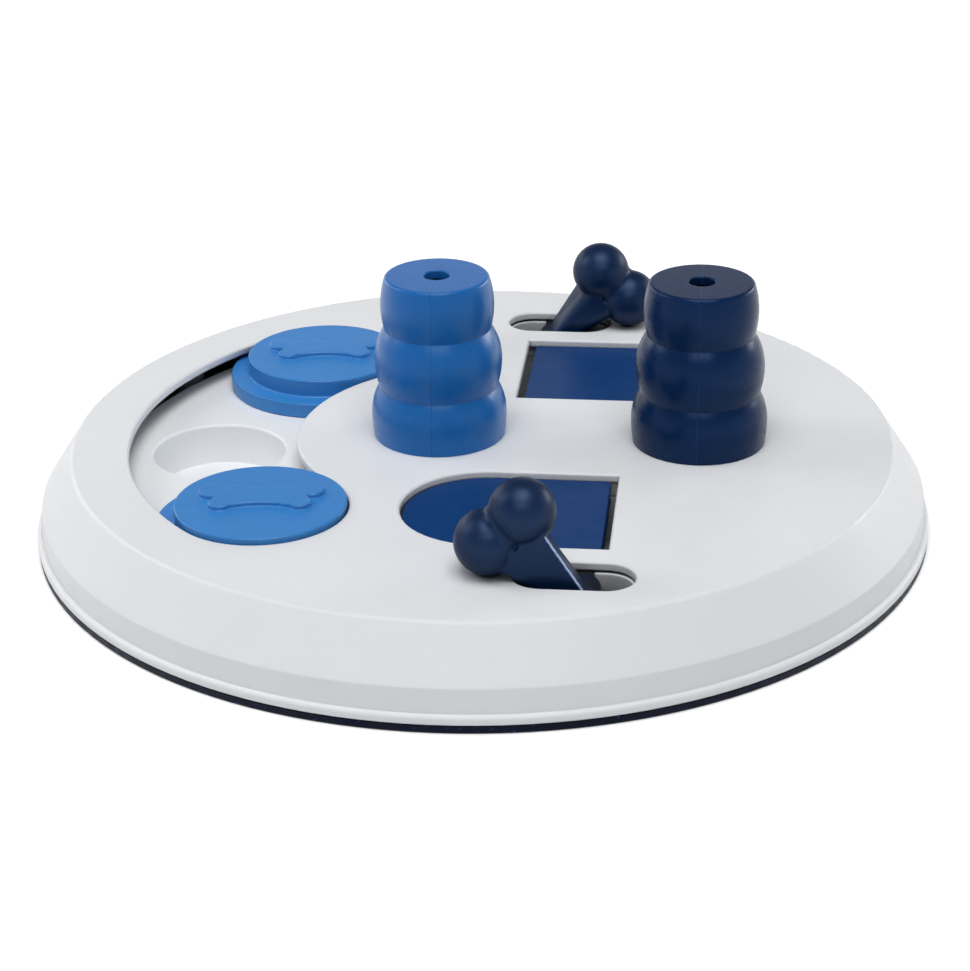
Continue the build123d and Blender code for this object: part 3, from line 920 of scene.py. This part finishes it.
class FEEDER_OT_flaps(bpy.types.Operator):
    """Model the two sunk flaps"""

    bl_idname = "feeder.flaps"
    bl_label = "Flaps"

    def execute(self, context):
        front = front_flap()
        rear = half_turn(copy_of(front, "sunk_flap_rear"))
        dress(front, "flap_navy", "front_flap", ["flap_front"])
        dress(rear, "flap_navy", "rear_flap", ["flap_rear"])
        for side in ("front", "rear"):
            dress_node(f"hinge_axle_{side}", "hinge_shaded_navy")
        return {"FINISHED"}


# ---------------------------------------------------------------- levers
def knob_profile():
    """Half of the outline of the two knobs and the soft valley between them, turned about their common line."""
    lever = settings().lever
    blend = 2.2 * MM
    reach = lever.knob_radius + blend
    blend_height = math.sqrt(reach**2 - lever.knob_spread**2)
    touch = math.atan2(blend_height, -lever.knob_spread)
    steps = 22
    half = []
    for k in range(1, steps + 1):
        turn = touch * k / steps
        half.append((
            lever.knob_radius * math.sin(turn), lever.knob_spread + lever.knob_radius * math.cos(turn)
        ))
    valley_start = math.atan2(-blend_height, lever.knob_spread)
    for k in range(1, 5):
        turn = valley_start + (-math.pi / 2 - valley_start) * k / 4
        half.append((blend_height + blend * math.sin(turn), blend * math.cos(turn)))
    return half + [(r, -z) for r, z in reversed(half[:-1])]


def resize_part(piece, chosen, factors, centre):
    """Sizes the vertices that chosen(place) picks about a centre."""
    pick(piece)
    bpy.ops.object.mode_set(mode="EDIT")
    bpy.ops.mesh.select_mode(type="VERT")
    bpy.ops.mesh.select_all(action="DESELECT")
    mesh = bmesh.from_edit_mesh(piece.data)
    for vertex in mesh.verts:
        vertex.select = chosen(vertex.co)
    mesh.select_flush(True)
    bmesh.update_edit_mesh(piece.data)
    bpy.ops.transform.resize(value=factors, center_override=centre)
    bpy.ops.object.mode_set(mode="OBJECT")


def shank_piece():
    """The flaring shank: flat outer side, drafted flanks and a rounded inner side."""
    foot, neck = 2.4 * MM, 20.6 * MM
    outer, inner, depth = 7.2 * MM, 4.6 * MM, 8.7 * MM
    neck_outer, neck_inner, neck_depth = 15.6 * MM, 9.9 * MM, 11.0 * MM
    shank = box_piece("shank", (-outer / 2, -depth / 2, foot), (outer / 2, depth / 2, neck))
    middle_height = (foot + neck) / 2
    resize_part(
        shank, lambda place: place.z > middle_height, (neck_outer / outer, neck_depth / depth, 1), (0, 0, neck)
    )
    resize_part(
        shank, lambda place: place.y > 0 and place.z > middle_height, (neck_inner / neck_outer, 1, 1), (0, 0, neck)
    )
    resize_part(shank, lambda place: place.y > 0 and place.z < middle_height, (inner / outer, 1, 1), (0, 0, foot))
    under = upright_edges(lambda edge: all(v.co.y < 0 and v.co.x < 0 for v in edge.verts))
    soften_edges(shank, 1.7 * MM, 5, under)
    over = upright_edges(lambda edge: all(v.co.y < -3 * MM and v.co.x > 0 for v in edge.verts))
    soften_edges(shank, 0.9 * MM, 4, over)
    back = upright_edges(lambda edge: all(v.co.y > 3 * MM for v in edge.verts))
    soften_edges(shank, 0, 5, back, percent=26)
    return shank


def mark_painted_highlight(piece):
    """Marks the shank's upper front corner for a painted highlight, from 0 where there is none to 1 where it is full.
    """
    corner = Vector((1, -1, 0)).normalized()
    marks = piece.data.attributes.new("painted_highlight", "FLOAT", "POINT")
    for vertex, mark in zip(piece.data.vertices, marks.data):
        if 3 * MM < vertex.co.z < 18.5 * MM and vertex.co.x > 2 * MM:
            mark.value = min(1.0, max(0.0, (vertex.normal.dot(corner) - 0.90) / 0.06))


def front_lever():
    """The front lever: two knobs and a shank grown together, hollowed for the hub and its post."""
    lever = settings().lever
    piece = turned("bone_knobs_front", knob_profile(), sides=96)
    pick(piece)
    piece.rotation_euler.y = math.pi / 2
    piece.location.z = lever.knob_height
    applied(piece)
    combine(piece, shank_piece(), "UNION")
    remesh = piece.modifiers.new("grow", "REMESH")
    remesh.mode = "VOXEL"
    remesh.voxel_size = 0.32 * MM
    bpy.ops.object.modifier_apply(modifier=remesh.name)
    smooth = piece.modifiers.new("soften", "SMOOTH")
    smooth.factor = 0.5
    smooth.iterations = lever.crease
    bpy.ops.object.modifier_apply(modifier=smooth.name)
    socket = box_piece("socket", (-1.7 * MM, -2.6 * MM, 0), (1.7 * MM, 2.6 * MM, 13.1 * MM))
    combine(piece, socket, "DIFFERENCE")
    clear_selection()
    bpy.ops.mesh.primitive_cylinder_add(vertices=96, radius=3.9 * MM, depth=20 * MM, rotation=(math.pi / 2, 0, 0))
    combine(piece, applied(named("saddle")), "DIFFERENCE")
    # Marks the corner that takes the painted highlight.
    mark_painted_highlight(piece)
    pick(piece)
    piece.rotation_euler.y = -lever.lean
    piece.location = (AXLE.x, LEVER_ROW, AXLE.z)
    return applied(piece)


class FEEDER_OT_levers(bpy.types.Operator):
    """Model the two bone levers"""

    bl_idname = "feeder.levers"
    bl_label = "Bone levers"

    def execute(self, context):
        front = front_lever()
        rear = half_turn(copy_of(front, "bone_knobs_rear"))
        dress(front, "navy_blue", "front_flap", ["bone_lever_front"])
        dress(rear, "navy_blue", "rear_flap", ["bone_lever_rear"])
        for side in ("front", "rear"):
            dress_node(f"lever_hub_{side}", "hinge_shaded_navy")
        return {"FINISHED"}


# ---------------------------------------------------------------- screws
SCREW_COUNT, SCREW_TURN = 6, math.radians(30)
HEAD_RADIUS, HEAD_HEIGHT = 2.8 * MM, 1.8 * MM
THREAD_RADIUS, CORE_RADIUS, PITCH = 1.5 * MM, 1.1 * MM, 1.1 * MM
RECESS_LENGTH, RECESS_WIDTH, RECESS_DEPTH = 3.4 * MM, 0.75 * MM, 1.1 * MM


def screw_profile(foot, tip):
    """Half of a screw's outline: domed head, ridged shank and blunt point."""
    seat = foot + HEAD_HEIGHT
    points = soften([
        (MM, foot, 0),
        (HEAD_RADIUS, foot, 0.7 * MM),
        (HEAD_RADIUS, seat, 0.15 * MM),
        (CORE_RADIUS, seat, 0),
    ])
    height = seat
    while height + 2 * PITCH < tip:
        points += [(CORE_RADIUS, height + 0.3 * PITCH), (THREAD_RADIUS, height + 0.8 * PITCH)]
        height += PITCH
        points += [(THREAD_RADIUS, height - 0.1 * PITCH), (CORE_RADIUS, height)]
    return points + [(0.4 * MM, tip)]


def make_screw(foot, tip, place):
    """One screw, head down, with its cross recess."""
    screw = turned("casing_screws", screw_profile(foot, tip), sides=40)
    half, narrow = RECESS_LENGTH / 2, RECESS_WIDTH / 2
    for x, y in ((half, narrow), (narrow, half)):
        combine(screw, box_piece("recess", (-x, -y, foot - MM), (x, y, foot + RECESS_DEPTH)), "DIFFERENCE")
    screw.location = (*place, 0)
    return applied(screw)


class FEEDER_OT_screws(bpy.types.Operator):
    """Model the screws under the base"""

    bl_idname = "feeder.screws"
    bl_label = "Screws"

    def execute(self, context):
        low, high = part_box("shell_screws")
        circle = high.y - HEAD_RADIUS
        first = make_screw(low.z, high.z, (circle * math.cos(SCREW_TURN), circle * math.sin(SCREW_TURN)))
        screws = [first]
        for k in range(1, SCREW_COUNT):
            screw = copy_of(first, "casing_screw")
            bpy.ops.transform.rotate(value=k * math.tau / SCREW_COUNT, orient_axis="Z", center_override=(0, 0, 0))
            screws.append(applied(screw))
        pick(*reversed(screws))
        bpy.ops.object.join()
        dress(first, "screw_steel", "board", ["shell_screws"])
        return {"FINISHED"}


# ---------------------------------------------------------------- stage
def backdrop_rays(tree):
    """One where the backdrop is seen straight, in a gloss or through glass, and zero where it lights the object."""
    rays = tree.nodes.new("ShaderNodeLightPath")
    seen = rays.outputs["Is Camera Ray"]
    for kind in ("Is Glossy Ray", "Is Transmission Ray"):
        either = tree.nodes.new("ShaderNodeMath")
        either.operation = "MAXIMUM"
        tree.links.new(seen, either.inputs[0])
        tree.links.new(rays.outputs[kind], either.inputs[1])
        seen = either.outputs[0]
    return seen


def white_world(strength):
    """White surroundings: plain light for the object, a white backdrop, and in a gloss a white horizon only."""
    world = bpy.data.worlds.new("surroundings")
    bpy.context.scene.world = world
    world.use_nodes = True
    tree = world.node_tree
    background = tree.nodes["Background"]
    background.inputs["Color"].default_value = (1, 1, 1, 1)
    direction = tree.nodes.new("ShaderNodeTexCoord")
    axes = tree.nodes.new("ShaderNodeSeparateXYZ")
    tree.links.new(direction.outputs["Generated"], axes.inputs[0])
    horizon = tree.nodes.new("ShaderNodeMapRange")
    horizon.interpolation_type = "SMOOTHSTEP"
    for socket, value in zip(horizon.inputs[1:5], (0.12, 0.45, 1.0, 0.25)):
        socket.default_value = value
    tree.links.new(axes.outputs["Z"], horizon.inputs["Value"])
    backdrop = tree.nodes.new("ShaderNodeMath")
    backdrop.operation = "MAXIMUM"
    tree.links.new(horizon.outputs[0], backdrop.inputs[0])
    tree.links.new(tree.nodes.new("ShaderNodeLightPath").outputs["Is Camera Ray"], backdrop.inputs[1])
    level = tree.nodes.new("ShaderNodeMix")
    level.inputs["A"].default_value = strength
    tree.links.new(backdrop_rays(tree), level.inputs["Factor"])
    tree.links.new(backdrop.outputs[0], level.inputs["B"])
    tree.links.new(level.outputs[0], background.inputs["Strength"])


def white_floor(size):
    """A white floor that keeps the object's shadow."""
    clear_selection()
    bpy.ops.mesh.primitive_plane_add(size=size, location=(0, 0, 0))
    floor = named("floor")
    material = bpy.data.materials.new("floor_white")
    material.use_nodes = True
    tree = material.node_tree
    tree.nodes.clear()
    output = tree.nodes.new("ShaderNodeOutputMaterial")
    paint = tree.nodes.new("ShaderNodeBsdfDiffuse")
    paint.inputs["Color"].default_value = (0.85, 0.85, 0.86, 1)
    glow = tree.nodes.new("ShaderNodeEmission")
    both = tree.nodes.new("ShaderNodeAddShader")
    level = tree.nodes.new("ShaderNodeMath")
    level.operation = "MULTIPLY"
    level.inputs[1].default_value = 0.34
    tree.links.new(backdrop_rays(tree), level.inputs[0])
    tree.links.new(level.outputs[0], glow.inputs["Strength"])
    tree.links.new(paint.outputs[0], both.inputs[0])
    tree.links.new(glow.outputs[0], both.inputs[1])
    tree.links.new(both.outputs[0], output.inputs["Surface"])
    floor.data.materials.append(material)


def lamp(name, place, aim, size, power):
    """A soft rectangular lamp that faces a point."""
    bpy.ops.object.light_add(type="AREA", location=place)
    light = bpy.context.object
    light.name = name
    light.data.shape = "RECTANGLE"
    light.data.size, light.data.size_y = size
    light.data.energy = power
    light.rotation_euler = (Vector(aim) - Vector(place)).to_track_quat("-Z", "Y").to_euler()


def place_camera():
    """The camera at its place, with its turn made of tilt, roll and heading."""
    stage = settings().stage
    tilt, roll, heading = stage.camera_turn
    bpy.ops.object.camera_add()
    camera = bpy.context.object
    camera.data.sensor_fit = "VERTICAL"
    camera.data.sensor_height = 36
    camera.data.lens = stage.lens
    turn = Matrix.Rotation(heading, 4, "Z") @ Matrix.Rotation(tilt, 4, "X") @ Matrix.Rotation(roll, 4, "Z")
    camera.matrix_world = Matrix.Translation(stage.camera_place) @ turn
    bpy.context.scene.camera = camera


class FEEDER_OT_stage(bpy.types.Operator):
    """Set up the floor, the light and the camera"""

    bl_idname = "feeder.stage"
    bl_label = "Stage"

    def execute(self, context):
        stage = settings().stage
        context.scene.view_settings.view_transform = "Standard"
        clear_selection()
        place_camera()
        white_world(stage.ambient)
        white_floor(stage.floor_size)
        lamp("soft_box", (0.05, -0.35, 1.5), (0, 0, 0.02), (1.0, 1.0), stage.soft_box)
        lamp("strip_front", (0.12, -1.15, 1.0), (0, 0, 0.03), (1.0, 0.16), 0.24 * stage.soft_box)
        lamp("lamp_left", (-1.0, 0.1, 0.7), (0, 0, 0.03), (0.5, 0.5), stage.left_lamp)
        lamp("lamp_rim_right", (0.88, 0.72, 0.32), (0, 0, 0.03), (0.6, 0.24), stage.rim_lamp)
        lamp("lamp_rim_left", (-0.95, 0.75, 0.35), (0, 0, 0.03), (0.6, 0.3), 0.5 * stage.rim_lamp)
        return {"FINISHED"}


# ---------------------------------------------------------------- panel and registration
class FEEDER_PT_workbench(bpy.types.Panel):
    """Buttons and settings of the feeder"""

    bl_label = "Puzzle feeder"
    bl_idname = "FEEDER_PT_workbench"
    bl_space_type = "VIEW_3D"
    bl_region_type = "UI"
    bl_category = "Feeder"

    def draw(self, context):
        for step in STEPS:
            self.layout.operator(step.bl_idname)
        for group in ("lid", "hat", "lever", "flap", "colour", "stage"):
            box = self.layout.box()
            box.label(text=group.capitalize())
            values = getattr(context.scene.feeder, group)
            for key in values.__annotations__:
                box.prop(values, key)


STEPS = (
    FEEDER_OT_stage,
    FEEDER_OT_casing,
    FEEDER_OT_lids,
    FEEDER_OT_hats,
    FEEDER_OT_flaps,
    FEEDER_OT_levers,
    FEEDER_OT_screws,
)
GROUPS = (LidSettings, HatSettings, LeverSettings, FlapSettings, ColourSettings, StageSettings, FeederSettings)


def register():
    """Registers the settings, the operators and the panel."""
    for item in (*GROUPS, *STEPS, FEEDER_PT_workbench):
        bpy.utils.register_class(item)
    bpy.types.Scene.feeder = bpy.props.PointerProperty(type=FeederSettings)


def unregister():
    """Takes them away again."""
    del bpy.types.Scene.feeder
    for item in reversed((*GROUPS, *STEPS, FEEDER_PT_workbench)):
        bpy.utils.unregister_class(item)


def main():
    """Builds the whole feeder, one operator after the other."""
    register()
    bpy.ops.feeder.stage()
    bpy.ops.feeder.casing()
    bpy.ops.feeder.lids()
    bpy.ops.feeder.hats()
    bpy.ops.feeder.flaps()
    bpy.ops.feeder.levers()
    bpy.ops.feeder.screws()


if __name__ == "__main__":
    main()
